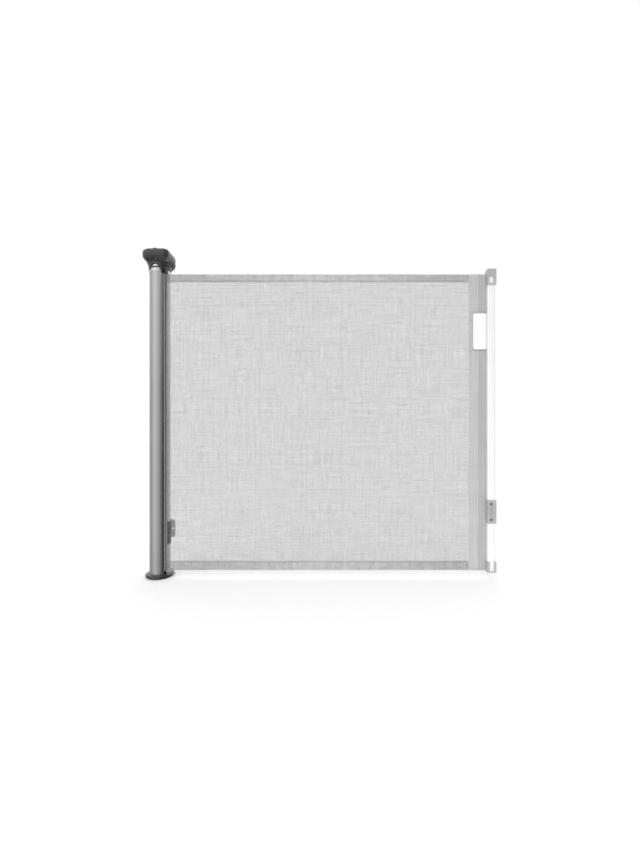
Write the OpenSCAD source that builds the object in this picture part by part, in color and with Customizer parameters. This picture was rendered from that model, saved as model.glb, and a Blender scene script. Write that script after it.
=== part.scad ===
// Retractable mesh safety gate. Millimetres, +Z up, +Y towards the wall.
// The origin is the centre of the four housing wall screws, on the wall.
// The pieces are drawn about the tube's axis, at the height of the mesh's centre, and on_axis() moves them.
// Drawn at rest: mesh pulled out, pull bar lifted just clear of its cups, dial unlocked.

/* [Mesh] */
// Height of the mesh
mesh_h = 800; // [760:10:820]
// Distance from the tube's axis to the end band when the mesh is pulled out
mesh_reach = 841; // [500:1:1300]
// Thickness of one layer of mesh
mesh_t = 0.6; // [0.4:0.1:0.8]
// Height of the top hem
top_hem_h = 22; // [15:1:30]
// Height of the bottom hem
bottom_hem_h = 26; // [15:1:30]

/* [Housing] */
// Outer radius of the housing tube
tube_r = 27; // [26.5:0.5:27]
// Wall of the housing tube
tube_wall = 2; // [1.5:0.1:2]
// Width of the slot that the mesh comes out of
slot_w = 6; // [5.6:0.1:7]
// Distance from the wall to the tube's axis
wall_gap = 44; // [44:1:60]
// Distance that the mesh's centre hangs below the centre of the wall screws
mesh_drop = 74; // [70:1:80]

/* [Roller] */
// Outer radius of the roller tube
roller_r = 11; // [10:0.5:12]
// Outer radius of the mesh still wound on the roller
roll_r = 15; // [14:0.5:15]
// Number of teeth of the ratchet wheel
teeth = 12; // [12]

/* [Head and foot] */
// Half width of the head
head_half_w = 37.5; // [37:0.5:40]
// Distance from the tube's axis to the front of the head
head_front = 47; // [46:0.5:50]
// Distance that the dial's axis stands forward of the tube's axis
head_forward = 4; // [3:0.5:5]
// Radius of the foot
foot_r = 38; // [34:1:42]
// Thickness of the foot
foot_t = 9; // [8:1:12]

/* [Wall brackets] */
// Half of the distance between the two screws of a wall plate
screw_half_x = 20; // [16:1:20]
// Half of the distance between the upper and the lower screws
screw_half_z = 375; // [375]
// Radius of each wall screw hole
screw_hole_r = 2.6; // [2:0.1:2.8]
// Half width of a wall plate
plate_half = 27; // [26:1:30]
// Thickness of a wall plate
plate_t = 4; // [3:0.5:4]

/* [End band and pull bar] */
// Width of the end band
band_w = 48; // [48:1:60]
// Thickness of the end band
band_t = 3.6; // [3.2:0.1:4]
// Width of the pull bar
bar_w = 20.6; // [18:0.1:24]
// Depth of the pull bar
bar_d = 18; // [16:0.5:20]

/* [Catches] */
// Distance that the bar drops to latch
hook_drop = 13; // [10:0.5:13]
// Half of the distance between the two screws of a catch
catch_half_z = 22; // [18:1:22]

/* [Hidden] */
$fn = 64;
half_h = mesh_h / 2;
tube_half = half_h + 12;
mesh_y = -roll_r - 1;
run_gap = 0.05;      // radial clearance of a running fit
free_gap = 0.3;      // clearance between pieces of different bodies

// head
floor_z = tube_half;
floor_t = 4;
chamber_z = floor_z + floor_t;
boss_r = tube_r - 0.1;
head_low_z = half_h + 21;
rim_z = half_h + 41;
head_top_z = half_h + 58.2;
dial_wall = 2.6;
dial_bore_r = 33;
head_corner_l = 27;
head_corner_r = 14;
head_back = wall_gap - plate_t - 0.2;
head_back_w = 28.5;
head_screw_angles = [20, 240, 273];
button_r = 8;
button_y = -22;
cam_r = 25;
cam_angle = 98;      // where the cam rib stands with the dial unlocked
grip_half_w = 8.5;
grip_h = 6.5;

// brake
bearing_r = 11;
axle_r = 4;
pawl_z = chamber_z + 3;
pawl_t = 5;
pin_r = 2;
pawl_x = 20 * cos(120);
pawl_y = 20 * sin(120);
nose_r = 16.2;
tooth_tip_r = 15;
tooth_root_r = 11;
tooth_phase = 156;

// roller
roller_in = roller_r - 1.2;
shaft_r = 5;
spring_h = 120;
spring_turns = 30;

// foot
foot_top_z = -tube_half + 3;
foot_low_z = foot_top_z - foot_t;
pad_t = 1.6;

// brackets
upper_plate_z = mesh_drop + screw_half_z;
lower_plate_z = mesh_drop - screw_half_z;
plate_half_h = 26;
clamp_half_h = 30.5;
clamp_t = 1.4;
bolt_r = 2.5;

// band, bead and bar
band_x = mesh_reach;
hole_low_z = half_h - 204;
hole_high_z = half_h - 103;
hole_x = band_x + 10;
bead_r = 2.5;
bead_x = band_x + band_w + 5;
bar_x = band_x + band_w;
bar_wall = 2;
bar_cx = bar_x + bar_w / 2;
bar_y = mesh_y - 1;
sleeve_t = 3.4;
sleeve_r = 1;
sleeve_back = 1.2;
arm_h = 6;

// hooks and catches
top_hook_z = [half_h - 31.5, half_h + 10.6];
low_hook_z = [-271, -209];
hook_y = mesh_y + 20;
tongue_x = bar_x + bar_w - 1.6;
tongue_t = 4;
tongue_w = 10;
tongue_h = hook_drop + 1;
lip_x = tongue_x - 3;
lip_t = 2.2;
cup_half_w = tongue_w / 2 + 1.5;
plate_x = tongue_x + tongue_t + 1.4;
catch_t = 3;
catch_w = 20;
catch_half_h = 30;
catch_hole_r = 2.4;

module on_axis() {
  translate([0, -wall_gap, -mesh_drop]) children();
}

// A box from its lowest corner to its highest corner.
module span(low, high) {
  translate(low) cube(high - low);
}

// A ring about the Z axis, from z0 to z1.
module ring(r_out, r_in, z0, z1, fn = 96) {
  translate([0, 0, z0]) difference() {
    cylinder(r = r_out, h = z1 - z0, $fn = fn);
    translate([0, 0, -1]) cylinder(r = r_in, h = z1 - z0 + 2, $fn = fn);
  }
}

// Corner points of a rounded rectangle about the origin.
function round_rect(w, d, r, n = 5) = [
  for (q = [0:3], i = [0:n])
    let (
      a = 90 * q + 90 * i / n,
      sx = (q == 0 || q == 3) ? 1 : -1,
      sy = (q < 2) ? 1 : -1
    )
    [sx * (w / 2 - r) + r * cos(a), sy * (d / 2 - r) + r * sin(a)]
];

module wall_holes(z, r = screw_hole_r) {
  for (sx = [-1, 1])
    translate([sx * screw_half_x, wall_gap - 20, z]) rotate([-90, 0, 0]) cylinder(r = r, h = 30, $fn = 32);
}

// ---- housing ----

module housing_tube() {
  color("silver") on_axis() difference() {
    ring(tube_r, tube_r - tube_wall, -tube_half, tube_half);
    span([tube_r / 2, mesh_y - slot_w / 2, -tube_half - 1], [2 * tube_r, mesh_y + slot_w / 2, tube_half + 1]);
  }
}

// Two plastic lips that line the edges of the slot.
module slot_lips() {
  lip_t = 1.4;
  color("dimgray") on_axis() {
    span([16.5, mesh_y - slot_w / 2, -half_h - 2], [20.6, mesh_y - slot_w / 2 + lip_t, half_h + 2]);
    span([20.8, mesh_y + slot_w / 2 - lip_t, -half_h - 2], [24.4, mesh_y + slot_w / 2, half_h + 2]);
  }
}

// Space that the slot plug's tab needs in the collar and the neck ring.
module tab_space(gap = 0) {
  span([14.4 - gap, -27 - gap, half_h + 2], [26.5 + gap, -11, half_h + 21.5 + gap]);
}

module slot_plug() {
  color("black") on_axis() {
    span([17, mesh_y - slot_w / 2 + 0.1, half_h + 2.5], [24.5, mesh_y + slot_w / 2 - 0.1, tube_half - 0.1]);
    intersection() {
      ring(tube_r + 2.4, tube_r + 0.1, half_h + 2.5, half_h + 21);
      tab_space();
    }
  }
}

// Bright metal ring that joins the tube to the head.
module neck_ring() {
  color("silver") on_axis() difference() {
    ring(tube_r + 0.8, tube_r, half_h + 5, half_h + 27);
    tab_space(0.2);
  }
}

// A rounded corner of the head's outline about (cx, cy), from the angle start.
function head_corner(r, cx, cy, start) =
  [for (i = [0:8]) [cx + r * cos(start + 11.25 * i), cy + r * sin(start + 11.25 * i)]];

// Outline of the head from above, inset all round: round at the front, straight at the sides, and
// narrower at the back, where it meets the wall plate.
function head_outline(inset) =
  concat(
    head_corner(head_corner_l - inset, head_corner_l - head_half_w, head_corner_l - head_front, 180),
    head_corner(head_corner_r - inset, head_half_w - head_corner_r, head_corner_r - head_front, 270),
    [[head_half_w - inset, 12], [head_back_w - inset, head_back - inset],
     [-head_back_w + inset, head_back - inset], [-head_half_w + inset, 12]]
  );

module head_slab(inset, z, h = 0.2) {
  translate([0, 0, z]) linear_extrude(h) polygon(head_outline(inset));
}

// Moves to each head screw's seat, with +Z out of the head and down.
module head_screw_places() {
  for (a = head_screw_angles)
    rotate([0, 0, a]) translate([36.4, 0, half_h + 33]) rotate([0, 126, 0]) children();
}

// Lower shell of the head: collar, cone, tray, chamber for the brake and bearing seat.
module head_base() {
  cone_in = tube_r + 0.9;
  color("dimgray") on_axis() difference() {
    union() {
      // collar around the neck ring
      ring(tube_r + 2, cone_in, half_h + 4, head_low_z);
      // cone between the collar and the tray
      rotate_extrude($fn = 96) polygon([
        [cone_in, head_low_z - 1], [tube_r + 2, head_low_z - 1], [31.6, half_h + 30], [36.4, half_h + 38],
        [34, half_h + 39.5], [29.2, half_h + 31], [cone_in, half_h + 29]
      ]);
      // tray, open at the top
      difference() {
        hull() {
          head_slab(12, half_h + 31);
          head_slab(5, half_h + 36);
          head_slab(1.4, rim_z - 0.2);
        }
        hull() {
          head_slab(9.4, half_h + 38);
          head_slab(3.8, rim_z + 0.2);
        }
        translate([0, 0, half_h + 30]) cylinder(r = 34, h = 9.5, $fn = 96);
      }
      // lobe under the tray's back, around the bracket's tongue
      difference() {
        hull() {
          translate([8, 10, half_h + 24.5]) cylinder(r = 23, h = 0.2, $fn = 64);
          translate([7.6, 10, half_h + 29]) cylinder(r = 28, h = 0.2, $fn = 64);
          translate([7, 9, half_h + 38]) cylinder(r = 30.4, h = 0.2, $fn = 64);
        }
        translate([0, 0, half_h]) cylinder(r = cone_in, h = 29, $fn = 96);
        translate([0, 0, half_h + 28]) cylinder(r = 29.2, h = 20, $fn = 96);
      }
      // floor of the chamber, which sits on the tube, and its wall
      ring(boss_r, bearing_r, floor_z, chamber_z);
      ring(boss_r, boss_r - 2.4, chamber_z - 1, half_h + 29);
      ring(cone_in + 1, boss_r - 2.4, half_h + 27, half_h + 29);
      // socket for the wall bracket's tongue
      span([-13, 29.5, half_h + 23], [13, head_back - 0.2, half_h + 40]);
      // boss of the pawl's pin
      translate([pawl_x, pawl_y, chamber_z - 0.5]) cylinder(r = 3, h = pawl_z - chamber_z + 0.3, $fn = 32);
      // bosses of the head screws
      head_screw_places() translate([0, 0, -6]) cylinder(r = 6.2, h = 5.2, $fn = 48);
    }
    tab_space(0.3);
    // window in front of the neck ring, with an arched top
    intersection() {
      translate([-4, 0, half_h + 15.5]) rotate([90, 0, 0]) cylinder(r = 10, h = 60, $fn = 48);
      span([-20, -60, half_h + 19], [20, 0, head_low_z + 6]);
    }
    // the collar ends higher at the left and the back than beside the tab
    translate([0, 4, half_h]) rotate([90, 0, 0]) linear_extrude(50) polygon([
      [-40, 0], [-40, 12.5], [-20, 12.5], [-14, 15], [8, 15], [15.5, 3], [15.5, 0]
    ]);
    span([-40, -4, half_h], [40, 40, half_h + 12.5]);
    span([21, -15, half_h], [40, 0, half_h + 12.5]);
    // slot of the bracket's tongue
    span([-10.2, 32, half_h + 20], [10.2, head_back + 2, half_h + 36.2]);
    // hole for the pawl's pin
    translate([pawl_x, pawl_y, floor_z - 1]) cylinder(r = pin_r, h = 20, $fn = 32);
    // counterbores and holes of the head screws
    head_screw_places() {
      translate([0, 0, -3.4]) cylinder(r = 4.4, h = 14, $fn = 48);
      translate([0, 0, -9]) cylinder(r = 1.6, h = 9, $fn = 32);
    }
  }
}

module head_screws() {
  color("gray") on_axis() head_screw_places() {
    translate([0, 0, -8]) cylinder(r = 1.6, h = 5.5, $fn = 32);
    translate([0, 0, -3.4]) cylinder(r = 2.8, h = 1.8, $fn = 48);
  }
}

// Upper shell of the head, with the round well that the dial turns in.
module head_cover() {
  color("dimgray") on_axis() difference() {
    hull() {
      head_slab(1.4, rim_z);
      head_slab(0, rim_z + 6, 5);
      head_slab(0.8, head_top_z - 3);
      head_slab(2.8, head_top_z - 0.2);
    }
    difference() {
      translate([0, 0, rim_z - 1]) linear_extrude(head_top_z - rim_z - 1.4) polygon(head_outline(3.4));
      translate([0, -head_forward, rim_z + 3]) cylinder(r = dial_bore_r + 2, h = 30, $fn = 96);
    }
    translate([0, -head_forward, rim_z + 6.4]) cylinder(r = dial_bore_r, h = 30, $fn = 96);
    translate([0, -head_forward, rim_z - 1]) cylinder(r = dial_bore_r - 3, h = 30, $fn = 96);
  }
}

// Flat ring that the dial rubs on, so that it stays where it is turned to.
module friction_washer() {
  color("white") on_axis() translate([0, -head_forward, 0])
    ring(dial_bore_r - 0.4, dial_bore_r - 2.6, rim_z + 6.4, rim_z + 6.9);
}

// Turning dial in the head's top, with the cup that holds the button's spring.
module lock_dial() {
  r = dial_bore_r - run_gap;
  color("dimgray") on_axis() translate([0, -head_forward, 0]) difference() {
    union() {
      rotate_extrude($fn = 96) polygon([
        [0, head_top_z - dial_wall], [r - 4, head_top_z - dial_wall], [r - 2.4, head_top_z - 5],
        [r - 2.4, rim_z + 7], [r, rim_z + 7], [r, head_top_z - 1], [r - 1, head_top_z],
        [r - 6, head_top_z], [r - 7, head_top_z + 1], [0, head_top_z + 2.4]
      ]);
      translate([0, button_y + head_forward, 0]) {
        ring(button_r + 3.6, button_r + 2.4, rim_z + 1, head_top_z - 1, 48);
        translate([0, 0, rim_z + 1]) cylinder(r = button_r + 3, h = 1.4, $fn = 48);
      }
      // cam rib that swings the pawl
      intersection() {
        ring(cam_r + 1, cam_r - 1, half_h + 30.5, head_top_z - 1);
        rotate([0, 0, cam_angle]) span([10, -3.2, half_h], [cam_r + 2, 3.2, head_top_z]);
      }
      // grip that a thumb turns the dial by
      translate([0, -26, head_top_z - 0.5]) rotate([90, 0, 0]) linear_extrude(5)
        polygon([for (i = [0:12]) [grip_half_w * cos(15 * i), grip_h * sin(15 * i)]]);
    }
    translate([0, button_y + head_forward, head_top_z - 8]) cylinder(r = button_r + 0.2, h = 40, $fn = 48);
  }
}

// Push button of the dial, with the flange that keeps it in.
module release_button() {
  low = head_top_z - dial_wall - 3.2;
  top = head_top_z + 6.8;
  color("dimgray") on_axis() translate([0, button_y, 0])
    rotate_extrude($fn = 64) polygon([
      [0, low], [button_r + 2, low], [button_r + 2, low + 2.6], [button_r, low + 2.6], [button_r, top - 3],
      [button_r - 1, top - 1.2], [button_r - 3, top - 0.3], [0, top]
    ]);
}

// Points of a coil's wire about the Z axis.
function coil_path(r, z0, pitch, turns, steps) = [
  for (i = [0:turns * steps])
    [r * cos(360 * i / steps), r * sin(360 * i / steps), z0 + pitch * i / steps]
];

// A wire swept along a coil, with a square of side points around each point of the path.
module coil(r, wire_r, z0, pitch, turns, steps = 12, sides = 5) {
  path = coil_path(r, z0, pitch, turns, steps);
  n = len(path);
  pts = [
    for (i = [0:n - 1], k = [0:sides - 1])
      let (a = 360 * i / steps, b = 360 * k / sides, rr = r + wire_r * cos(b))
      [rr * cos(a), rr * sin(a), path[i][2] + wire_r * sin(b)]
  ];
  walls = [
    for (i = [0:n - 2], k = [0:sides - 1])
      let (m = (k + 1) % sides)
      [i * sides + k, (i + 1) * sides + k, (i + 1) * sides + m, i * sides + m]
  ];
  low_end = [for (k = [0:sides - 1]) k];
  high_end = [for (k = [sides - 1:-1:0]) (n - 1) * sides + k];
  polyhedron(points = pts, faces = concat(walls, [low_end], [high_end]), convexity = 10);
}

module button_spring() {
  z0 = rim_z + 3;
  color("silver") on_axis() translate([0, button_y, 0])
    coil(5, 0.5, z0, (head_top_z - dial_wall - 3.8 - z0) / 4, 4);
}

// Saw-toothed wheel of the brake, on the roller's axle.
module ratchet_wheel() {
  step = 360 / teeth;
  color("gray") on_axis() translate([0, 0, pawl_z]) difference() {
    linear_extrude(pawl_t) polygon([
      for (k = [0:teeth - 1], j = [0:2])
        let (
          a = tooth_phase + k * step + [0, 0.08, 0.5][j] * step,
          r = [tooth_tip_r, tooth_root_r, tooth_root_r][j]
        )
        [r * cos(a), r * sin(a)]
    ]);
    translate([0, 0, -1]) cylinder(r = axle_r, h = pawl_t + 2, $fn = 48);
  }
}

// Brake lever that drops into the wheel's teeth.
module pawl() {
  outline = [
    [17.4, 122], [17.6, 132], [18.4, 145], [18.4, 157], [nose_r, 161.5], [nose_r, 166],
    [19.5, 170], [22.4, 169], [23.2, 150], [23.4, 128], [23, 116]
  ];
  color("gray") on_axis() difference() {
    union() {
      translate([0, 0, pawl_z]) linear_extrude(pawl_t) polygon([
        for (p = outline) [p[0] * cos(p[1]), p[0] * sin(p[1])]
      ]);
      translate([pawl_x, pawl_y, pawl_z]) cylinder(r = 3.4, h = pawl_t, $fn = 48);
      translate([20.4 * cos(160), 20.4 * sin(160), pawl_z]) cylinder(r = 1.2, h = pawl_t + 8, $fn = 32);
    }
    translate([pawl_x, pawl_y, pawl_z - 1]) cylinder(r = pin_r + run_gap, h = pawl_t + 2, $fn = 48);
  }
}

module pawl_pin() {
  color("silver") on_axis() {
    translate([pawl_x, pawl_y, floor_z]) cylinder(r = pin_r, h = pawl_z + pawl_t + 1.6 - floor_z, $fn = 48);
    translate([pawl_x, pawl_y, pawl_z + pawl_t + 0.3]) cylinder(r = pin_r + 1.2, h = 1.2, $fn = 48);
  }
}

// ---- roller ----

module upper_axle() {
  color("silver") on_axis() {
    translate([0, 0, half_h - 8]) cylinder(r = axle_r, h = pawl_z + pawl_t + 1.5 - half_h + 8, $fn = 48);
    translate([0, 0, pawl_z + pawl_t + 0.1]) cylinder(r = axle_r + 2, h = 1.2, $fn = 48);
  }
}

module upper_bearing() {
  color("goldenrod") on_axis() ring(bearing_r, axle_r + run_gap, floor_z - 2, chamber_z, 64);
}

module roller_tube() {
  color("silver") on_axis() ring(roller_r, roller_in, -half_h - 2, half_h + 2);
}

// Turns of mesh that stay wound on the roller.
module mesh_roll() {
  color("lightgray") on_axis() ring(roll_r, roller_r, -half_h, half_h);
}

module roller_top_plug() {
  color("white") on_axis() {
    ring(roller_in, axle_r, half_h - 10, half_h + 2, 64);
    ring(roller_r + 2, axle_r, half_h + 2, half_h + 5, 64);
  }
}

module roller_bottom_plug() {
  color("white") on_axis() {
    ring(roller_in, shaft_r + run_gap, -half_h - 2, -half_h + 10, 64);
    ring(roller_r + 2, shaft_r + run_gap, -half_h - 4, -half_h - 2, 64);
  }
}

// Shaft fixed to the foot, which the return spring winds against.
module spring_shaft() {
  color("silver") on_axis() {
    translate([0, 0, foot_low_z + 2]) cylinder(r = shaft_r, h = -half_h + 14 - foot_low_z - 2, $fn = 48);
    translate([0, 0, -half_h + 13]) cylinder(r = shaft_r - 2, h = spring_h + 22, $fn = 48);
  }
}

module torsion_spring() {
  color("dimgray") on_axis() coil(6.4, 0.9, -half_h + 17, spring_h / spring_turns, spring_turns);
}

// Block that joins the spring's upper end to the roller tube.
module spring_anchor() {
  z0 = -half_h + 19 + spring_h;
  color("white") on_axis() ring(roller_in, shaft_r - 2 + 2 * run_gap, z0, z0 + 12, 64);
}

// Flanged bearing that the roller stands on.
module lower_bearing() {
  color("goldenrod") on_axis() difference() {
    union() {
      ring(20, shaft_r, foot_top_z, foot_top_z + 3, 64);
      ring(9, shaft_r, foot_top_z + 2.5, -half_h - 4.1, 64);
    }
    foot_screw_places() translate([0, 0, foot_top_z - 1]) cylinder(r = 1.6, h = 6, $fn = 32);
  }
}

// ---- foot ----

module foot_screw_places() {
  for (a = [90, 210, 330]) rotate([0, 0, a]) translate([14, 0, 0]) children();
}

module foot_plate() {
  color("black") on_axis() difference() {
    rotate_extrude($fn = 96) polygon([
      [0, foot_low_z], [foot_r - 2.4, foot_low_z], [foot_r - 0.6, foot_low_z + 1], [foot_r, foot_low_z + 3],
      [foot_r - 0.4, foot_low_z + 5], [foot_r - 2.4, foot_top_z - 2], [tube_r + 3, foot_top_z],
      [0, foot_top_z]
    ]);
    ring(tube_r, tube_r - tube_wall, -tube_half, foot_top_z + 1);
    translate([0, 0, foot_low_z + 2]) cylinder(r = shaft_r, h = foot_t, $fn = 48);
    foot_screw_places() {
      translate([0, 0, foot_low_z - 1]) cylinder(r = 1.6, h = foot_t + 2, $fn = 32);
      translate([0, 0, foot_low_z - 1]) cylinder(r = 3.2, h = 3.4, $fn = 32);
    }
  }
}

module foot_screws() {
  color("gray") on_axis() foot_screw_places() {
    translate([0, 0, foot_low_z + 0.4]) cylinder(r = 3.1, h = 2, $fn = 32);
    translate([0, 0, foot_low_z + 0.4]) cylinder(r = 1.6, h = foot_t + 1.6, $fn = 32);
  }
}

module foot_pad() {
  color("dimgray") on_axis() ring(foot_r - 4, 19, foot_low_z - pad_t, foot_low_z);
}

// ---- wall brackets ----

module upper_wall_bracket() {
  color("dimgray") on_axis() difference() {
    union() {
      translate([0, wall_gap, upper_plate_z]) rotate([90, 0, 0]) linear_extrude(plate_t) polygon([
        [-plate_half, 11], [plate_half, 11], [plate_half, -4], [plate_half - 8, -12],
        [8 - plate_half, -12], [-plate_half, -4]
      ]);
      span([-12, wall_gap - plate_t, half_h + 24], [12, wall_gap, rim_z - 2]);
      span([-10, 32.2, half_h + 24], [10, wall_gap - plate_t + 1, half_h + 36]);
    }
    wall_holes(upper_plate_z);
  }
}

// Wall plate of the lower clamp, with two cheeks that take the clamp's lug. Its corners are cut off.
module lower_wall_bracket() {
  c = 6;
  color("gray") on_axis() difference() {
    union() {
      translate([0, wall_gap, lower_plate_z]) rotate([90, 0, 0]) linear_extrude(plate_t) polygon([
        [-plate_half + c, -plate_half_h], [plate_half - c, -plate_half_h], [plate_half, -plate_half_h + c],
        [plate_half, plate_half_h - c], [plate_half - c, plate_half_h], [-plate_half + c, plate_half_h],
        [-plate_half, plate_half_h - c], [-plate_half, -plate_half_h + c]
      ]);
      for (x = [-12, 8])
        span([x, 30.5, lower_plate_z - 17], [x + 4, wall_gap - plate_t + 1, lower_plate_z + 17]);
    }
    wall_holes(lower_plate_z);
    clamp_bolt_places() cylinder(r = bolt_r, h = 40, center = true, $fn = 32);
  }
}

module clamp_bolt_places() {
  for (dz = [-9, 9])
    translate([0, 34.6, lower_plate_z + dz]) rotate([0, 90, 0]) children();
}

// Strap around the back of the housing tube.
module lower_clamp() {
  color("dimgray") on_axis() difference() {
    union() {
      difference() {
        ring(tube_r + clamp_t, tube_r, lower_plate_z - clamp_half_h, lower_plate_z + clamp_half_h);
        span([-40, -40, -half_h], [0, 0, 0]);
        span([-1, -40, -half_h], [40, mesh_y + slot_w / 2 + 0.4, 0]);
      }
      difference() {
        span([-7.9, tube_r - 2, lower_plate_z - 16], [7.9, 38.6, lower_plate_z + 16]);
        translate([0, 0, lower_plate_z - 20]) cylinder(r = tube_r + 0.6, h = 40, $fn = 96);
      }
    }
    clamp_bolt_places() cylinder(r = bolt_r, h = 40, center = true, $fn = 32);
  }
}

module clamp_screws() {
  color("silver") on_axis() clamp_bolt_places() {
    cylinder(r = bolt_r, h = 26, center = true, $fn = 32);
    for (s = [-1, 1]) translate([0, 0, 13.2 * s]) cylinder(r = bolt_r + 2, h = 2.4, center = true, $fn = 6);
  }
}

// ---- mesh ----

module sheet_strip(z0, z1, t) {
  span([0.1, mesh_y + 0.1 - t / 2, z0], [band_x - free_gap, mesh_y + 0.1 + t / 2, z1]);
}

module mesh_panel() {
  color("gainsboro") on_axis() sheet_strip(-half_h + bottom_hem_h, half_h - top_hem_h, mesh_t);
}

module top_hem() {
  color("lightgray") on_axis() sheet_strip(half_h - top_hem_h, half_h, 2 * mesh_t);
}

module bottom_hem() {
  color("lightgray") on_axis() sheet_strip(-half_h, -half_h + bottom_hem_h, 2 * mesh_t);
}

// ---- end band ----

module end_band() {
  color("silver") on_axis() difference() {
    span([band_x, mesh_y - band_t / 2, -half_h], [bar_x - free_gap, mesh_y + band_t / 2, half_h]);
    span([hole_x, mesh_y - band_t, hole_low_z], [bar_x + 1, mesh_y + band_t, hole_high_z]);
    band_pocket(0);
  }
}

// Space inside the band for its stiffener.
module band_pocket(gap) {
  span([band_x + 2, mesh_y - 0.8 + gap, -half_h + 4], [band_x + 7, mesh_y + 0.8 - gap, half_h - 4]);
}

module band_stiffener() {
  color("white") on_axis() band_pocket(0);
}

// Moulded lining of the hand hole, open towards the pull bar.
module grip_rim() {
  t = 1.6;
  proud = 1.2;
  y0 = mesh_y - band_t / 2 - proud;
  y1 = mesh_y + band_t / 2 + proud;
  color("gray") on_axis() difference() {
    span([hole_x, y0, hole_low_z], [bar_x - free_gap, y1, hole_high_z]);
    span([hole_x + t, y0 - 1, hole_low_z + t], [bar_x + 1, y1 + 1, hole_high_z - t]);
  }
}

// Bead on the band's edge, which the pull bar slides on.
module band_bead() {
  z0 = -half_h + 4;
  z1 = half_h - hook_drop - 3;
  color("white") on_axis() {
    span([bar_x - free_gap, mesh_y - 0.6, z0], [bead_x - 1.5, mesh_y + 0.6, z1]);
    translate([bead_x, mesh_y, z0]) cylinder(r = bead_r, h = z1 - z0, $fn = 48);
  }
}

// ---- pull bar ----

module hook_screw_places() {
  for (z = [low_hook_z[0] + 10, low_hook_z[1] - 9.3])
    translate([bar_x + 7.5, bar_y - bar_d / 2, z]) rotate([90, 0, 0]) children();
}

module pull_bar() {
  cavity_x = bead_x + bead_r + 2.6;
  color("white") on_axis() difference() {
    translate([bar_cx, bar_y, -half_h]) linear_extrude(2 * half_h) polygon(round_rect(bar_w, bar_d, 4));
    span([cavity_x, bar_y - bar_d / 2 + bar_wall, -half_h - 1],
         [bar_x + bar_w - bar_wall, bar_y + bar_d / 2 - bar_wall, half_h + 1]);
    translate([bead_x, mesh_y, -half_h - 1]) cylinder(r = bead_r + free_gap, h = 2 * half_h + 2, $fn = 48);
    span([bar_x - 1, mesh_y - 1, -half_h - 1], [bead_x, mesh_y + 1, half_h + 1]);
    hook_screw_places() cylinder(r = 1.6, h = 6, center = true, $fn = 32);
  }
}

// Sleeve around the bar from z0 to z1, open on the left behind the band's edge.
module bar_sleeve(z0, z1) {
  difference() {
    union() {
      span([bar_x - 1.6, bar_y - bar_d / 2 - sleeve_t, z0], [bar_cx, mesh_y - band_t / 2 - 0.8, z1]);
      span([bar_x + 0.4, bar_y - bar_d / 2 - sleeve_t, z0],
           [bar_x + bar_w + sleeve_r, bar_y + bar_d / 2 + sleeve_back, z1]);
    }
    translate([bar_cx, bar_y, -half_h]) linear_extrude(2 * half_h) polygon(round_rect(bar_w, bar_d, 4));
    span([bar_x - 5, mesh_y - 1.4, z0 - 1], [bar_x + 2, mesh_y + 1.4, z1 + 1]);
  }
}

// Arm and tongue that drop into a catch behind the bar, with the arm's top at z.
module hook(z) {
  y1 = hook_y + tongue_w / 2;
  span([bar_x + 8, bar_y + bar_d / 2 + sleeve_back, z - arm_h], [tongue_x + tongue_t, y1, z]);
  span([tongue_x, hook_y - tongue_w / 2, z - arm_h - tongue_h], [tongue_x + tongue_t, y1, z - arm_h + 1]);
}

module bar_top_hook() {
  color("gray") on_axis() difference() {
    bar_sleeve(top_hook_z[0], top_hook_z[1]);
    span([bar_x + 3, -60, top_hook_z[0] + 4], [bar_x + 13.6, bar_y, top_hook_z[0] + 23]);
  }
}

module bar_lower_hook() {
  color("gray") on_axis() difference() {
    bar_sleeve(low_hook_z[0], low_hook_z[1]);
    hook_screw_places() cylinder(r = 1.6, h = 20, center = true, $fn = 32);
  }
}

module upper_tongue() {
  color("white") on_axis() hook(top_hook_z[1] - 12);
}

module lower_tongue() {
  color("white") on_axis() hook(low_hook_z[1] - 12);
}

module bar_bottom_cap() {
  color("gray") on_axis() difference() {
    bar_sleeve(-half_h - 3, -half_h + 26);
    span([bar_x + 4, -60, -half_h], [bar_x + bar_w - 5, bar_y, -half_h + 27]);
  }
}

module hook_screws() {
  color("dimgray") on_axis() hook_screw_places() {
    translate([0, 0, -2.2]) cylinder(r = 1.6, h = sleeve_t + 2.4, $fn = 32);
    translate([0, 0, sleeve_t]) cylinder(r = 3, h = 1.3, $fn = 32);
  }
}

// ---- catches ----

// Cup on the opposite wall for a hook whose arm has its top at z.
module catch(z) {
  lip_top = z - arm_h - tongue_h - 1;
  low = lip_top - 20;
  zc = lip_top - 10;
  web = 2;
  color("white") on_axis() difference() {
    union() {
      span([plate_x, hook_y - catch_w / 2, zc - catch_half_h],
           [plate_x + catch_t, hook_y + catch_w / 2, zc + catch_half_h]);
      for (y = [hook_y - cup_half_w - web, hook_y + cup_half_w])
        span([lip_x, y, low], [plate_x + 0.5, y + web, lip_top]);
      span([lip_x, hook_y - cup_half_w - 1, low], [lip_x + lip_t, hook_y + cup_half_w + 1, lip_top]);
    }
    for (dz = [-catch_half_z, catch_half_z])
      translate([plate_x - 1, hook_y, zc + dz]) rotate([0, 90, 0])
        cylinder(r = catch_hole_r, h = catch_t + 2, $fn = 32);
  }
}

module upper_catch() {
  catch(top_hook_z[1] - 12);
}

module lower_catch() {
  catch(low_hook_z[1] - 12);
}

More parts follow.
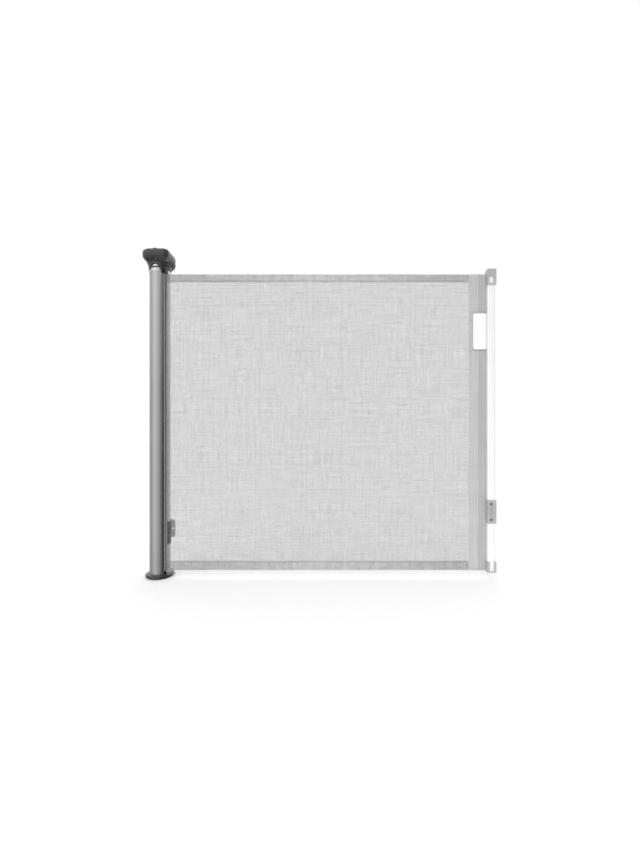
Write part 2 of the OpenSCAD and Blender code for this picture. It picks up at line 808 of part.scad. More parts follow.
housing_tube();
slot_lips();
slot_plug();
head_base();
head_cover();
neck_ring();
head_screws();
friction_washer();
lock_dial();
release_button();
button_spring();
ratchet_wheel();
pawl();
pawl_pin();
upper_axle();
upper_bearing();
roller_tube();
mesh_roll();
roller_top_plug();
roller_bottom_plug();
spring_shaft();
torsion_spring();
spring_anchor();
lower_bearing();
foot_plate();
foot_screws();
foot_pad();
upper_wall_bracket();
lower_wall_bracket();
lower_clamp();
clamp_screws();
mesh_panel();
top_hem();
bottom_hem();
end_band();
grip_rim();
band_stiffener();
band_bead();
pull_bar();
bar_top_hook();
bar_lower_hook();
bar_bottom_cap();
hook_screws();
upper_tongue();
lower_tongue();
upper_catch();
lower_catch();
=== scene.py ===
import math

import bmesh
import bpy
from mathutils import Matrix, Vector


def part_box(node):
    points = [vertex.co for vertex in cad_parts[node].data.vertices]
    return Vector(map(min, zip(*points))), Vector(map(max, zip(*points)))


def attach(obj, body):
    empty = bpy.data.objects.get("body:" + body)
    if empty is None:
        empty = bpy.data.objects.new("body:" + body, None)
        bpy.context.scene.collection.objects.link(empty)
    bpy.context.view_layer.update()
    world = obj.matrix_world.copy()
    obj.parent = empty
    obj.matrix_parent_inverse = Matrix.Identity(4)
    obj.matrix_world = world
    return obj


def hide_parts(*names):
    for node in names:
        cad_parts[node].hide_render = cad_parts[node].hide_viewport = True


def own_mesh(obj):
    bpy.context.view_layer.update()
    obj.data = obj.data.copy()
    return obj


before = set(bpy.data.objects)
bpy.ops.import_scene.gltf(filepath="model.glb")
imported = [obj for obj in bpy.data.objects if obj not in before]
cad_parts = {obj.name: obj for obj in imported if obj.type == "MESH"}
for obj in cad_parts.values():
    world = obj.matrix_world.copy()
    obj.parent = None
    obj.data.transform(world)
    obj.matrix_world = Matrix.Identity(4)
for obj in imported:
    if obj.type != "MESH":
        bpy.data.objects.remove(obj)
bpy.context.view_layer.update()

# Retractable mesh safety gate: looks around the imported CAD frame. Metres, +Z up, +Y towards the wall.

# ---- places taken from the frame ----


def box(node):
    low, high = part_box(node)
    return Vector(low), Vector(high)


TUBE_LOW, TUBE_HIGH = box("housing_tube")
TUBE_R = (TUBE_HIGH.y - TUBE_LOW.y) / 2
AXIS = Vector((0.0, TUBE_HIGH.y - TUBE_R, 0.0))
MESH_LOW, MESH_HIGH = box("mesh_panel")
TOP_LOW, TOP_HIGH = box("top_hem")
BOTTOM_LOW, BOTTOM_HIGH = box("bottom_hem")
BAND_LOW, BAND_HIGH = box("end_band")
RIM_LOW, RIM_HIGH = box("grip_rim")
MESH_Y = (MESH_LOW.y + MESH_HIGH.y) / 2
MESH_MID_Z = (TOP_HIGH.z + BOTTOM_LOW.z) / 2
GROUND_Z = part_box("foot_pad")[0][2]

# the end band's two tapes meet at SEAM_X; each of its four seams runs beside an edge or beside that line
SEAM_X = BAND_LOW.x + 0.0245
SEAMS = (BAND_LOW.x + 0.0035, SEAM_X - 0.003, SEAM_X + 0.003, BAND_HIGH.x - 0.0035)

# open weave of the mesh, and the machine stitches of the hems and the band
WEAVE_PITCH = 0.0016
THREAD = 0.00039
STITCH_PITCH = 0.0042
STITCH_LENGTH = 0.0030
HEM_STITCH_INSET = 0.004
HEM_STITCH_OFF = 0.0008
HEM_ROWS = (0.003, 0.0055)

# the back stitches start clear of the wound roll
INSIDE_TUBE = 0.06

# ---- camera, at the photograph's viewing angle ----

CAMERA_X = 0.439
CAMERA_AWAY = 1.098
CAMERA_DROP = 0.0127


def make_camera():
    cam = bpy.data.cameras.new("camera")
    cam.sensor_fit = "AUTO"
    cam.sensor_width = 36.0
    cam.lens = 16.86
    obj = bpy.data.objects.new("camera", cam)
    obj.location = (CAMERA_X, AXIS.y - CAMERA_AWAY, MESH_MID_Z - CAMERA_DROP)
    obj.rotation_euler = (math.radians(90), 0, 0)
    bpy.context.scene.collection.objects.link(obj)
    bpy.context.scene.camera = obj


make_camera()

# ---- node helpers ----


class Nodes:
    """A short way to add nodes to one material or world."""

    def __init__(self, owner, output="OutputMaterial"):
        owner.use_nodes = True
        self.tree = owner.node_tree
        self.tree.nodes.clear()
        self.out = self.tree.nodes.new("ShaderNode" + output)

    def feed(self, socket, value):
        """Links another node's output to the socket, or sets it to a plain value."""
        if isinstance(value, bpy.types.NodeSocket):
            self.tree.links.new(value, socket)
        else:
            socket.default_value = value

    def add(self, kind, inputs=None, **values):
        node = self.tree.nodes.new("ShaderNode" + kind)
        for key, value in values.items():
            setattr(node, key, value)
        for key, value in (inputs or {}).items():
            self.feed(node.inputs[key], value)
        return node

    def math(self, operation, a, b=0.0, c=0.0):
        return self.add("Math", {0: a, 1: b, 2: c}, operation=operation).outputs[0]

    def noise(self, where, scale, detail=3.0, rough=0.5):
        inputs = {"Vector": where, "Scale": scale, "Detail": detail, "Roughness": rough}
        return self.add("TexNoise", inputs).outputs[0]

    def ramp(self, value, low, high, a, b):
        """Maps value from low..high to a..b."""
        return self.add("MapRange", {0: value, 1: low, 2: high, 3: a, 4: b}).outputs[0]

    def blend(self, fac, a, b):
        node = self.add("Mix", data_type="RGBA")
        for index, value in ((0, fac), (6, a), (7, b)):
            self.feed(node.inputs[index], value)
        return node.outputs[2]

    def stretch(self, where, x, y, z):
        return self.add("Mapping", {"Vector": where, "Scale": (x, y, z)}).outputs[0]

    def surface(self, shader):
        self.tree.links.new(shader, self.out.inputs["Surface"])


def grey(value):
    return (value, value, value, 1.0)


def material(name):
    return bpy.data.materials.new(name)


def moulded(name, base, rough, mottle=0.12, grain=0.15, grain_scale=1800.0, scuff=0.25, coat=0.0, gloss=0.5):
    """Moulded plastic or coated metal: fine grain, slow colour drift and lighter scuffs on raised edges."""
    mat = material(name)
    n = Nodes(mat)
    where = n.add("TexCoord").outputs["Object"]
    drift = n.noise(where, 14.0, 4.0)
    spots = n.noise(where, 260.0, 4.0, 0.7)
    grains = n.noise(where, grain_scale, 2.0)
    smudge = n.noise(where, 38.0, 5.0, 0.6)
    edge = n.add("NewGeometry").outputs["Pointiness"]
    worn = n.math("MULTIPLY", n.ramp(edge, 0.52, 0.60, 0.0, scuff), n.ramp(spots, 0.42, 0.62, 0.2, 1.0))
    colour = n.blend(n.ramp(drift, 0.3, 0.7, 0.0, 1.0), grey(base * (1 - mottle)), grey(base * (1 + mottle)))
    colour = n.blend(worn, colour, grey(min(0.9, base * 2.2 + 0.04)))
    smudged = n.ramp(smudge, 0.3, 0.7, rough - 0.08, rough + 0.08)
    roughness = n.math("ADD", smudged, n.math("MULTIPLY", worn, 0.25))
    bump = n.add("Bump", {"Strength": grain, "Distance": 0.0004, "Height": grains})
    shader = n.add("BsdfPrincipled", {
        "Base Color": colour, "Roughness": roughness, "Specular IOR Level": gloss, "Normal": bump.outputs[0],
        "Coat Weight": coat, "Coat Roughness": 0.12})
    n.surface(shader.outputs[0])
    return mat


def brushed(name, base, rough, along=(1.0, 1.0, 0.02), lines=900.0):
    """Metal with fine lines drawn along one direction."""
    mat = material(name)
    n = Nodes(mat)
    where = n.add("TexCoord").outputs["Object"]
    line = n.noise(n.stretch(where, *along), lines, 3.0, 0.6)
    cloud = n.noise(where, 9.0, 4.0)
    mark = n.noise(where, 120.0, 5.0, 0.7)
    colour = n.blend(n.ramp(line, 0.35, 0.65, 0.0, 1.0), grey(base * 0.93), grey(min(1.0, base * 1.06)))
    colour = n.blend(n.ramp(cloud, 0.35, 0.7, 0.0, 0.25), colour, grey(base * 0.82))
    drawn = n.ramp(line, 0.3, 0.7, rough - 0.06, rough + 0.06)
    roughness = n.math("ADD", drawn, n.ramp(mark, 0.55, 0.75, 0.0, 0.08))
    bump = n.add("Bump", {"Strength": 0.12, "Distance": 0.0002, "Height": line})
    shader = n.add("BsdfPrincipled", {
        "Base Color": colour, "Roughness": roughness, "Metallic": 1.0, "Normal": bump.outputs[0]})
    n.surface(shader.outputs[0])
    return mat


def thread_band(n, uv, place, run):
    """One direction of threads: where they lie, their number, their shade and their round tops."""
    streaks = 0.34
    cell = n.math("FLOOR", place)
    off = n.math("ABSOLUTE", n.math("SUBTRACT", n.math("FRACT", place), 0.5))
    shade = n.add("TexWhiteNoise", {"W": cell}, noise_dimensions="1D").outputs["Value"]
    slub = n.noise(n.stretch(uv, *run), 290.0, 3.0, 0.75)
    streak = n.ramp(slub, 0.38, 0.62, 1 - streaks, 1 + streaks)
    thick = n.math("MULTIPLY", n.ramp(shade, 0.0, 1.0, 0.84, 1.16), streak)
    half = n.math("MULTIPLY", thick, THREAD / WEAVE_PITCH / 2)
    inside = n.math("LESS_THAN", off, half)
    round_top = n.math("SUBTRACT", 1.0, n.math("DIVIDE", off, half))
    return inside, cell, shade, round_top


def woven(name, base):
    """Plain weave on the piece's own UV map, which is in metres. The gaps between the threads are open."""
    mat = material(name)
    n = Nodes(mat)
    uv = n.add("UVMap", uv_map="weave").outputs[0]
    split = n.add("SeparateXYZ", {0: uv})
    wander = n.noise(uv, 60.0, 2.0)
    bands = []
    for axis, run in ((0, (1.0, 0.05, 1.0)), (1, (0.04, 1.0, 1.0))):
        place = n.math("ADD", split.outputs[axis], n.math("MULTIPLY", wander, 0.0004))
        bands.append(thread_band(n, uv, n.math("DIVIDE", place, WEAVE_PITCH), run))
    (in_u, cell_u, shade_u, top_u), (in_v, cell_v, shade_v, top_v) = bands
    parity = n.math("PINGPONG", n.math("ADD", cell_u, cell_v), 1.0)
    over_u = n.math("MULTIPLY", in_u, n.math("MAXIMUM", parity, n.math("SUBTRACT", 1.0, in_v)))
    over_v = n.math("SUBTRACT", 1.0, over_u)
    shade = n.math("ADD", n.math("MULTIPLY", over_u, shade_u), n.math("MULTIPLY", over_v, shade_v))
    height = n.math("ADD", n.math("MULTIPLY", over_u, top_u), n.math("MULTIPLY", over_v, top_v))
    slow = n.noise(uv, 3.0, 3.0)
    colour = n.blend(shade, grey(base * 0.8), grey(base * 1.2))
    colour = n.blend(n.ramp(slow, 0.35, 0.65, 0.0, 0.5), colour, grey(base * 0.86))
    bump = n.add("Bump", {"Strength": 0.6, "Distance": 0.0003, "Height": height})
    shader = n.add("BsdfPrincipled", {
        "Base Color": colour, "Roughness": n.ramp(shade, 0.0, 1.0, 0.55, 0.75), "Normal": bump.outputs[0],
        "Sheen Weight": 0.3, "Sheen Roughness": 0.4})
    covered = n.math("MAXIMUM", in_u, in_v)
    clear = n.add("BsdfTransparent")
    mixed = n.add("MixShader", {0: covered, 1: clear.outputs[0], 2: shader.outputs[0]})
    n.surface(mixed.outputs[0])
    return mat


def tape(name, base):
    """Close-woven tape: a fine twill of slanted ribs on the UV map in metres, with painted shade in the
    valleys between the ribs.
    """
    rib = 0.0009
    mat = material(name)
    n = Nodes(mat)
    uv = n.add("UVMap", uv_map="weave").outputs[0]
    split = n.add("SeparateXYZ", {0: uv})
    across = n.math("DIVIDE", n.math("ADD", split.outputs[0], n.math("MULTIPLY", split.outputs[1], 0.5)), rib)
    along = n.math("DIVIDE", split.outputs[1], rib * 1.4)
    ribs = n.math("PINGPONG", across, 0.5)
    picks = n.math("PINGPONG", along, 0.5)
    rounded = n.math("SQRT", n.math("MULTIPLY", ribs, 2.0))
    height = n.math("MULTIPLY", rounded, n.ramp(picks, 0.0, 0.5, 0.6, 1.0))
    yarn = n.add("TexWhiteNoise", {"W": n.math("FLOOR", across)}, noise_dimensions="1D").outputs["Value"]
    slow = n.noise(uv, 22.0, 4.0)
    streak = n.noise(n.stretch(uv, 1.0, 0.03, 1.0), 200.0, 4.0, 0.7)
    pick = n.noise(n.stretch(uv, 0.06, 1.0, 1.0), 240.0, 3.0, 0.7)
    # painted shade: the rib tops are painted lighter and the valleys between the ribs darker
    colour = n.blend(n.math("MULTIPLY", height, 0.8), grey(base * 0.72), grey(base * 1.08))
    colour = n.blend(n.ramp(streak, 0.4, 0.62, 0.0, 0.8), colour, grey(base * 0.68))
    colour = n.blend(n.ramp(pick, 0.42, 0.6, 0.0, 0.6), colour, grey(base * 0.74))
    colour = n.blend(n.ramp(yarn, 0.0, 1.0, 0.0, 0.35), colour, grey(base * 0.84))
    colour = n.blend(n.ramp(slow, 0.4, 0.7, 0.0, 0.3), colour, grey(base * 0.88))
    bump = n.add("Bump", {"Strength": 0.5, "Distance": 0.0004, "Height": height})
    shader = n.add("BsdfPrincipled", {
        "Base Color": colour, "Roughness": n.ramp(yarn, 0.0, 1.0, 0.6, 0.78), "Normal": bump.outputs[0],
        "Sheen Weight": 0.4, "Sheen Roughness": 0.5})
    n.surface(shader.outputs[0])
    return mat


def wound_mesh():
    """Turns of mesh on the roller, as fine rings with the weave's lines, with painted shade in the grooves
    between the rings.
    """
    mat = material("mesh_roll_weave")
    n = Nodes(mat)
    where = n.add("TexCoord").outputs["Object"]
    split = n.add("SeparateXYZ", {0: where})
    rows = n.math("PINGPONG", n.math("DIVIDE", split.outputs[2], WEAVE_PITCH), 0.5)
    spots = n.noise(where, 900.0, 3.0)
    # painted shade: the grooves between the rows are painted darker and the row tops lighter
    colour = n.blend(n.math("MULTIPLY", rows, 2.0), grey(0.14), grey(0.30))
    colour = n.blend(n.ramp(spots, 0.35, 0.65, 0.0, 0.4), colour, grey(0.18))
    bump = n.add("Bump", {"Strength": 0.5, "Distance": 0.0003, "Height": rows})
    shader = n.add("BsdfPrincipled", {
        "Base Color": colour, "Roughness": n.ramp(spots, 0.3, 0.7, 0.6, 0.8), "Normal": bump.outputs[0]})
    n.surface(shader.outputs[0])
    return mat


MATS = {
    "tube": brushed("tube_aluminium", 0.60, 0.27),
    "lip": moulded("slot_lip_plastic", 0.30, 0.5),
    "ring": brushed("bright_ring", 0.85, 0.12, (1.0, 1.0, 12.0), 400.0),
    "black": moulded("black_plastic", 0.012, 0.12, coat=1.0, grain=0.02, scuff=0.1),
    "head": moulded("head_plastic", 0.042, 0.26, coat=0.35, grain=0.06),
    "button": moulded("button_plastic", 0.050, 0.34, coat=0.2, grain=0.08),
    "screw": brushed("screw_steel", 0.34, 0.30, (1.0, 1.0, 1.0), 500.0),
    "inner": brushed("inner_steel", 0.45, 0.35, (1.0, 1.0, 4.0), 600.0),
    "spring": brushed("spring_steel", 0.35, 0.30, (1.0, 1.0, 3.0), 700.0),
    "brass": brushed("bearing_brass", 0.5, 0.3, (1.0, 1.0, 5.0), 600.0),
    "white": moulded("white_plastic", 0.75, 0.45),
    "rubber": moulded("foot_rubber", 0.02, 0.75, grain=0.4, grain_scale=900.0),
    "paint": moulded("bracket_paint", 0.008, 0.42, grain=0.35, grain_scale=1200.0, gloss=0.2),
    "plate": moulded("bracket_plate", 0.92, 0.45, grain=0.35, grain_scale=1200.0),
    "fitting": moulded("fitting_plastic", 0.47, 0.42, grain=0.2),
    "bar": moulded("bar_white", 0.95, 0.35, mottle=0.02, grain=0.12, grain_scale=700.0, scuff=0.0),
    "catch": moulded("catch_white", 0.90, 0.42, mottle=0.02, scuff=0.0),
    "mesh": woven("mesh_weave", 0.24),
    "hem": woven("hem_weave", 0.25),
    "tape_light": tape("band_tape_light", 0.71),
    "tape_dark": tape("band_tape_dark", 0.59),
    "stitch": moulded("stitch_thread", 0.42, 0.7, grain=0.5, grain_scale=3000.0, scuff=0.0),
    "mesh_roll": wound_mesh(),
}

NODE_MATS = {
    "housing_tube": "tube", "neck_ring": "ring", "slot_lips": "lip", "slot_plug": "black",
    "head_base": "head", "head_cover": "head", "head_screws": "screw", "friction_washer": "white",
    "lock_dial": "head", "release_button": "button", "ratchet_wheel": "inner", "pawl": "inner",
    "pawl_pin": "inner", "upper_axle": "inner", "upper_bearing": "brass", "roller_tube": "tube",
    "mesh_roll": "mesh_roll", "roller_top_plug": "white", "roller_bottom_plug": "white",
    "spring_shaft": "inner", "torsion_spring": "spring", "spring_anchor": "white", "lower_bearing": "brass",
    "foot_plate": "black", "foot_screws": "screw", "foot_pad": "rubber", "upper_wall_bracket": "paint",
    "lower_wall_bracket": "plate", "lower_clamp": "paint", "clamp_screws": "screw", "band_stiffener": "white",
    "band_bead": "white", "pull_bar": "bar", "bar_top_hook": "fitting", "bar_lower_hook": "fitting",
    "bar_bottom_cap": "fitting", "hook_screws": "screw",
    "upper_tongue": "catch", "lower_tongue": "catch", "upper_catch": "catch", "lower_catch": "catch",
}

# width in mm of the rounded edges of each moulded or bent node
EDGES = {
    "head_base": 0.6, "head_cover": 0.9, "lock_dial": 0.5, "release_button": 0.4, "slot_plug": 0.8,
    "foot_plate": 0.6, "foot_pad": 0.4, "upper_wall_bracket": 0.5, "lower_wall_bracket": 0.6,
    "lower_clamp": 0.3, "bar_top_hook": 0.5, "bar_lower_hook": 0.5, "bar_bottom_cap": 0.5,
    "upper_tongue": 0.5, "lower_tongue": 0.5, "upper_catch": 0.5, "lower_catch": 0.5,
    "neck_ring": 0.2, "hook_screws": 0.3, "head_screws": 0.3, "clamp_screws": 0.2,
}
WELD_DISTANCE = 0.000005


def dress_cad_nodes():
    """Gives each carried-over CAD node its material and small rounded edges."""
    for name, key in NODE_MATS.items():
        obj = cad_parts[name]
        obj.data.materials.clear()
        obj.data.materials.append(MATS[key])
        if name in EDGES:
            weld = obj.modifiers.new("weld", "WELD")
            weld.merge_threshold = WELD_DISTANCE
            bevel = obj.modifiers.new("edges", "BEVEL")
            bevel.width = EDGES[name] / 1000
            bevel.segments = 2
            bevel.limit_method = "ANGLE"
            bevel.angle_limit = math.radians(35)


dress_cad_nodes()

# ---- shape helpers ----


def piece(name, bm, mats, body):
    """Turns bm into a smooth piece that rides on a body and belongs to a material slot."""
    mesh = bpy.data.meshes.new(name)
    bm.to_mesh(mesh)
    bm.free()
    for mat in mats:
        mesh.materials.append(mat)
    obj = bpy.data.objects.new(name, mesh)
    bpy.context.scene.collection.objects.link(obj)
    for poly in mesh.polygons:
        poly.use_smooth = True
    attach(obj, body)
    return obj


def grid(bm, us, vs, place, weave):
    """A sheet of quads over the values us and vs. place gives a point, weave its UV in metres."""
    layer = bm.loops.layers.uv.get("weave") or bm.loops.layers.uv.new("weave")
    rows = [[bm.verts.new(place(u, v)) for v in vs] for u in us]
    for i in range(len(us) - 1):
        for j in range(len(vs) - 1):
            face = bm.faces.new((rows[i][j], rows[i + 1][j], rows[i + 1][j + 1], rows[i][j + 1]))
            corners = ((i, j), (i + 1, j), (i + 1, j + 1), (i, j + 1))
            for loop, (a, b) in zip(face.loops, corners):
                loop[layer].uv = weave(us[a], vs[b])


def skin(bm, rings):
    """Joins closed rings of vertices into a tube and closes both ends."""
    for a, b in zip(rings, rings[1:]):
        for k in range(len(a)):
            m = (k + 1) % len(a)
            bm.faces.new((a[k], a[m], b[m], b[k]))
    bm.faces.new(rings[0][::-1])
    bm.faces.new(rings[-1])


def steps(a, b, n):
    """The n + 1 evenly spaced values from a to b."""
    return [a + (b - a) * i / n for i in range(n + 1)]


# soft creases beside the end band: x, z, slope, length, depth
CREASES = ((0.80, 0.24, 0.35, 0.07, 0.0016), (0.76, -0.36, -0.9, 0.09, 0.0014))
CREASE_WIDTH = 0.008


def ripple(x, z):
    """How far the pulled mesh stands off its plane: slow waves and two soft creases."""
    held = math.sin(math.pi * min(1.0, max(0.0, x / BAND_LOW.x)))
    wave = 0.0007 * math.sin(9.0 * x + 3.0 * z) * math.sin(7.0 * z + 1.0)
    wave += 0.0004 * math.sin(23.0 * x - 11.0 * z)
    crease = 0.0
    for cx, cz, slope, length, depth in CREASES:
        dx, dz = x - cx, z - cz
        across = dx - slope * dz
        crease += depth * math.exp(-(across / CREASE_WIDTH) ** 2) * math.exp(-(dz / length) ** 2)
    return held * wave + crease


def squash_with_pull(obj):
    """Gives the sheet its own copy of its mesh data."""
    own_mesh(obj)


# ---- mesh, hems and their stitches ----


def make_mesh_panel():
    """The see-through mesh between the hems."""
    bm = bmesh.new()
    xs = steps(MESH_LOW.x, MESH_HIGH.x, 168)
    zs = steps(MESH_LOW.z, MESH_HIGH.z, 150)
    grid(bm, xs, zs, lambda x, z: (x, MESH_Y + ripple(x, z), z), lambda x, z: (x, z))
    obj = piece("mesh_sheet", bm, [MATS["mesh"]], "housing")
    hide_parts("mesh_panel")
    squash_with_pull(obj)


def make_hem(name, low, high, fold_up, replaced):
    """A hem: the mesh folded over once, with a round fold at its outer edge."""
    bm = bmesh.new()
    r = 0.00055
    h = high.z - low.z
    outer, inner = (high.z, low.z) if fold_up else (low.z, high.z)
    sign = 1 if fold_up else -1
    profile = [(MESH_Y - r, inner + sign * h * t) for t in steps(0, 0.96, 8)]
    profile += [(MESH_Y - r * math.cos(a), outer - sign * r + sign * r * math.sin(a))
                for a in steps(0, math.pi, 6)]
    profile += [(MESH_Y + r, inner + sign * h * t) for t in steps(0.96, 0.02, 8)]
    lengths = [0.0]
    for p, q in zip(profile, profile[1:]):
        lengths.append(lengths[-1] + math.dist(p, q))
    xs = steps(low.x, high.x, 168)
    index = list(range(len(profile)))
    grid(bm, xs, index, lambda x, k: (x, profile[k][0] + ripple(x, profile[k][1]), profile[k][1]),
         lambda x, k: (x + 0.0006, lengths[k]))
    obj = piece(name, bm, [MATS["hem"]], "housing")
    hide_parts(replaced)
    squash_with_pull(obj)


def stitch(bm, start, end):
    """One stitch: a short thread with pinched ends."""
    r, sides = 0.00028, 6
    start, end = Vector(start), Vector(end)
    along = (end - start).normalized()
    side = along.cross(Vector((0, 1, 0))).normalized()
    rings = []
    for t, scale in ((0.0, 0.35), (0.2, 1.0), (0.8, 1.0), (1.0, 0.35)):
        centre = start.lerp(end, t)
        rings.append([
            bm.verts.new(centre + side * (r * scale * math.cos(a)) + Vector((0, r * scale * math.sin(a), 0)))
            for a in (2 * math.pi * k / sides for k in range(sides))])
    skin(bm, rings)


def make_hem_stitches(name, rows):
    """Two rows of stitches on both faces of a hem, from the slot to the end band."""
    bm = bmesh.new()
    x0, x1 = HEM_STITCH_INSET, BAND_LOW.x - HEM_STITCH_INSET
    count = int((x1 - x0) / STITCH_PITCH)
    for z in rows:
        for side in (-1, 1):
            for i in range(count):
                x = x0 + STITCH_PITCH * i
                if side > 0 and x < INSIDE_TUBE:
                    continue
                y = MESH_Y + ripple(x, z) + side * HEM_STITCH_OFF
                stitch(bm, (x, y, z), (x + STITCH_LENGTH, y, z))
    obj = piece(name, bm, [MATS["stitch"]], "housing")
    squash_with_pull(obj)


# ---- end band ----

# rounding of the band's cut edges, and the least half thickness there
EDGE_ROUND = 0.0016
EDGE_HALF = 0.00045
TAPE_STEP = 0.0003
SEAM_DIP = 0.00028
SEAM_WIDTH = 0.0011
HOLE_CORNER = 0.007


def band_depth(x, z, right):
    """Half thickness of the end band: the right tape on top, pulled in along the seams and edges."""
    half = (BAND_HIGH.y - BAND_LOW.y) / 2
    depth = half - (TAPE_STEP if x < SEAM_X else 0.0)
    for seam in SEAMS:
        depth -= SEAM_DIP * math.exp(-((x - seam) / SEAM_WIDTH) ** 2)
    depth += 0.00012 * math.sin(70.0 * z + 5.0 * x) * math.sin(31.0 * z)
    edge = min(x - BAND_LOW.x, right - x, z - BAND_LOW.z, BAND_HIGH.z - z)
    return EDGE_HALF + (depth - EDGE_HALF) * math.sqrt(min(1.0, max(0.0, edge / EDGE_ROUND)))


def band_part(bm, z0, z1, rows, right_at):
    """One length of the end band as a flat closed tube of cloth, from z0 to z1."""
    layer = bm.loops.layers.uv.get("weave") or bm.loops.layers.uv.new("weave")
    spans = [0.0, 0.0006, 0.0014, 0.003]
    loops = []
    for z in steps(z0, z1, rows):
        right = right_at(z)
        xs = [BAND_LOW.x + d for d in spans]
        xs += steps(BAND_LOW.x + 0.0045, min(SEAM_X - 0.0002, right - 0.0036), 6)
        if right > SEAM_X:
            xs += [SEAM_X + 0.0002] + steps(SEAM_X + 0.002, right - 0.005, 7)
        xs += [right - d for d in reversed(spans)]
        front = [(x, MESH_Y - band_depth(x, z, right), z) for x in xs]
        back = [(x, MESH_Y + band_depth(x, z, right), z) for x in reversed(xs)]
        loops.append([bm.verts.new(p) for p in front + back])
    for a, b in zip(loops, loops[1:]):
        for k in range(len(a)):
            m = (k + 1) % len(a)
            face = bm.faces.new((a[k], a[m], b[m], b[k]))
            face.material_index = 0 if face.calc_center_median().x < SEAM_X else 1
            for loop in face.loops:
                x, y, z = loop.vert.co
                loop[layer].uv = (x, z) if y < MESH_Y else (0.2 - x, z)
    for ends in (loops[0][::-1], loops[-1]):
        bm.faces.new(ends)


def full_width(z):
    """The band's right edge above and below the hand hole."""
    return BAND_HIGH.x


def beside_hole(z):
    """The band's right edge along the hand hole, which has rounded corners."""
    off = max(0.0, HOLE_CORNER - min(z - RIM_LOW.z, RIM_HIGH.z - z))
    return RIM_LOW.x + HOLE_CORNER - math.sqrt(max(0.0, HOLE_CORNER ** 2 - off ** 2))


def make_band():
    """The two tapes of the end band, below, beside and above the hand hole."""
    bm = bmesh.new()
    band_part(bm, BAND_LOW.z, RIM_LOW.z, 90, full_width)
    band_part(bm, RIM_LOW.z, RIM_HIGH.z, 40, beside_hole)
    band_part(bm, RIM_HIGH.z, BAND_HIGH.z, 24, full_width)
    obj = piece("end_band_tapes", bm, [MATS["tape_light"], MATS["tape_dark"]], "carriage")
    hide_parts("end_band")


def make_band_stitches():
    """A row of stitches on both faces along each seam, left out beside the hand hole."""
    bm = bmesh.new()
    count = int((BAND_HIGH.z - BAND_LOW.z - 0.004) / STITCH_PITCH)
    for x in SEAMS:
        for side in (-1, 1):
            for i in range(count):
                z = BAND_LOW.z + 0.003 + STITCH_PITCH * i
                if x > RIM_LOW.x - 0.004 and RIM_LOW.z - 0.008 < z < RIM_HIGH.z + 0.005:
                    continue
                y = MESH_Y + side * (band_depth(x, z, BAND_HIGH.x) + 0.0001)
                stitch(bm, (x, y, z), (x, y, z + STITCH_LENGTH))
    piece("end_band_stitches", bm, [MATS["stitch"]], "carriage")


def make_grip_rim():
    """Moulded lining of the hand hole: a channel that wraps the tape's edge, with rounded corners."""
    inset, radius = 0.0016, 0.0054
    x0, x1 = RIM_LOW.x + inset, RIM_HIGH.x
    z0, z1 = RIM_LOW.z + inset, RIM_HIGH.z - inset
    path = [(x1, z0, 0.0, -1.0)]
    for first, corner_z in ((270, z0 + radius), (180, z1 - radius)):
        for k in range(11):
            a = math.radians(first - 9 * k)
            nx, nz = math.cos(a), math.sin(a)
            path.append((x0 + radius + radius * nx, corner_z + radius * nz, nx, nz))
    path.append((x1, z1, 0.0, 1.0))
    half = (RIM_HIGH.y - RIM_LOW.y) / 2
    lip = 0.0030
    side = [(0.0, half - 0.0007), (0.0002, half - 0.0002), (0.0008, half), (lip, half),
            (lip + 0.0005, half - 0.0004), (lip + 0.0006, half - 0.0010), (0.0016, 0.0018)]
    section = [(d, -y) for d, y in side] + side[::-1]
    bm = bmesh.new()
    skin(bm, [[bm.verts.new((x + nx * d, MESH_Y + y, z + nz * d)) for d, y in section]
              for x, z, nx, nz in path])
    bmesh.ops.recalc_face_normals(bm, faces=bm.faces)
    obj = piece("hand_hole_lining", bm, [MATS["fitting"]], "carriage")
    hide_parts("grip_rim")


# ---- button spring ----


def make_button_coil():
    """The push button's spring: a wire helix."""
    low, high = box("button_spring")
    wire, turns, around, sides = 0.0005, 4, 24, 8
    centre = (low + high) / 2
    height = high.z - low.z
    radius = (high.x - low.x) / 2 - wire
    rise = height - 2 * wire
    up = Vector((0, 0, 1))
    bm = bmesh.new()
    rings = []
    for i in range(turns * around + 1):
        a = 2 * math.pi * i / around
        out = Vector((math.cos(a), math.sin(a), 0))
        middle = Vector((centre.x, centre.y, low.z + wire + rise * i / (turns * around))) + out * radius
        rings.append([bm.verts.new(middle + out * (wire * math.cos(b)) + up * (wire * math.sin(b)))
                      for b in (2 * math.pi * k / sides for k in range(sides))])
    skin(bm, rings)
    bmesh.ops.recalc_face_normals(bm, faces=bm.faces)
    obj = piece("button_coil", bm, [MATS["spring"]], "dial")
    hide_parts("button_spring")
    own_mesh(obj)


make_mesh_panel()
make_button_coil()
make_band()
make_band_stitches()
make_grip_rim()
make_hem("top_hem_fold", TOP_LOW, TOP_HIGH, True, "top_hem")
make_hem("bottom_hem_fold", BOTTOM_LOW, BOTTOM_HIGH, False, "bottom_hem")
make_hem_stitches("top_hem_stitches", [TOP_LOW.z + row for row in HEM_ROWS])
make_hem_stitches("bottom_hem_stitches", [BOTTOM_HIGH.z - row for row in HEM_ROWS])

# ---- stage ----


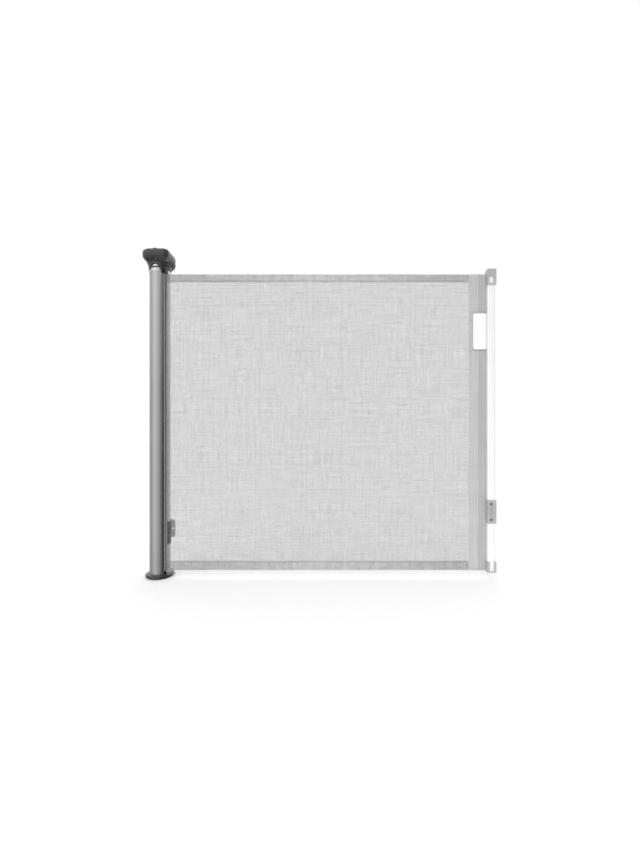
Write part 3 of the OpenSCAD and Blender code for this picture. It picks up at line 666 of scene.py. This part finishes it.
def make_floor():
    """A white disc under the gate that fades out towards its rim."""
    bm = bmesh.new()
    radius, sides = 1.8, 96
    rim = [bm.verts.new((BAND_LOW.x / 2 + radius * math.cos(a), radius * math.sin(a), GROUND_Z - 0.0005))
           for a in (2 * math.pi * k / sides for k in range(sides))]
    bm.faces.new(rim)
    mesh = bpy.data.meshes.new("floor")
    bm.to_mesh(mesh)
    bm.free()
    mat = material("floor_white")
    n = Nodes(mat)
    where = n.add("TexCoord").outputs["Object"]
    soft = n.noise(where, 2.0, 2.0)
    shader = n.add("BsdfPrincipled", {
        "Base Color": n.blend(soft, grey(0.93), grey(0.95)), "Roughness": n.ramp(soft, 0.0, 1.0, 0.8, 0.9),
        "Emission Color": (1, 1, 1, 1), "Emission Strength": 0.16})
    centre = (BAND_LOW.x / 2, 0.0, GROUND_Z)
    away = n.add("VectorMath", {0: where, 1: centre}, operation="DISTANCE").outputs["Value"]
    clear = n.add("BsdfTransparent")
    fade = n.ramp(away, radius / 2, radius * 0.95, 0.0, 1.0)
    mixed = n.add("MixShader", {0: fade, 1: shader.outputs[0], 2: clear.outputs[0]})
    n.surface(mixed.outputs[0])
    mesh.materials.append(mat)
    floor = bpy.data.objects.new("floor", mesh)
    bpy.context.scene.collection.objects.link(floor)
    floor.visible_glossy = False


# brightness of the studio by compass angle: 0 is in front of the gate, +90 on its right
STUDIO = (
    (-180, 1.0), (-130, 0.95), (-98, 0.55), (-79, 0.65), (-37, 1.1), (-10, 0.8), (15, 0.58), (40, 0.16),
    (66, 0.04), (85, 0.30), (110, 0.65), (136, 1.0), (180, 1.0),
)


def make_studio():
    """Bright on the left, above and behind, dark on the right. The camera itself sees white."""
    world = bpy.data.worlds.new("studio")
    bpy.context.scene.world = world
    n = Nodes(world, "OutputWorld")
    way = n.add("SeparateXYZ", {0: n.add("TexCoord").outputs["Generated"]}).outputs
    turn = n.math("ARCTAN2", way[0], n.math("MULTIPLY", way[1], -1.0))
    turn = n.math("ADD", n.math("MULTIPLY", turn, 0.5 / math.pi), 0.5)
    ring = n.add("ValToRGB", {0: turn})
    while len(ring.color_ramp.elements) < len(STUDIO):
        ring.color_ramp.elements.new(0.5)
    for stop, (angle, value) in zip(ring.color_ramp.elements, STUDIO):
        stop.position = (angle + 180) / 360
        stop.color = grey(value)
    top = n.math("MAXIMUM", way[2], 0.0)
    down = n.math("MULTIPLY", n.math("MAXIMUM", n.math("SUBTRACT", -0.22, way[2]), 0.0), 1.3)
    around = n.math("MULTIPLY", ring.outputs[0], n.math("MAXIMUM", n.math("SUBTRACT", 1.0, down), 0.3))
    level = n.math("ADD", around, n.math("MULTIPLY", top, 0.55))
    lit = n.add("Background", {"Strength": level})
    seen = n.add("Background", {"Strength": 1.0, "Color": (1, 1, 1, 1)})
    direct = n.add("LightPath").outputs["Is Camera Ray"]
    n.surface(n.add("MixShader", {0: direct, 1: lit.outputs[0], 2: seen.outputs[0]}).outputs[0])


def make_key_light():
    """A large soft light in front of the gate, aimed at the mesh."""
    place, target = Vector((0.3, -3.0, 0.9)), Vector((0.45, 0, -0.1))
    light = bpy.data.lights.new("key", "AREA")
    light.shape = "RECTANGLE"
    light.size = light.size_y = 3.0
    light.energy = 40.0
    obj = bpy.data.objects.new("key", light)
    obj.location = place
    obj.rotation_euler = (target - place).to_track_quat("-Z", "Y").to_euler()
    obj.visible_glossy = False
    bpy.context.scene.collection.objects.link(obj)


make_floor()
make_studio()
make_key_light()
bpy.context.scene.view_settings.view_transform = "Standard"
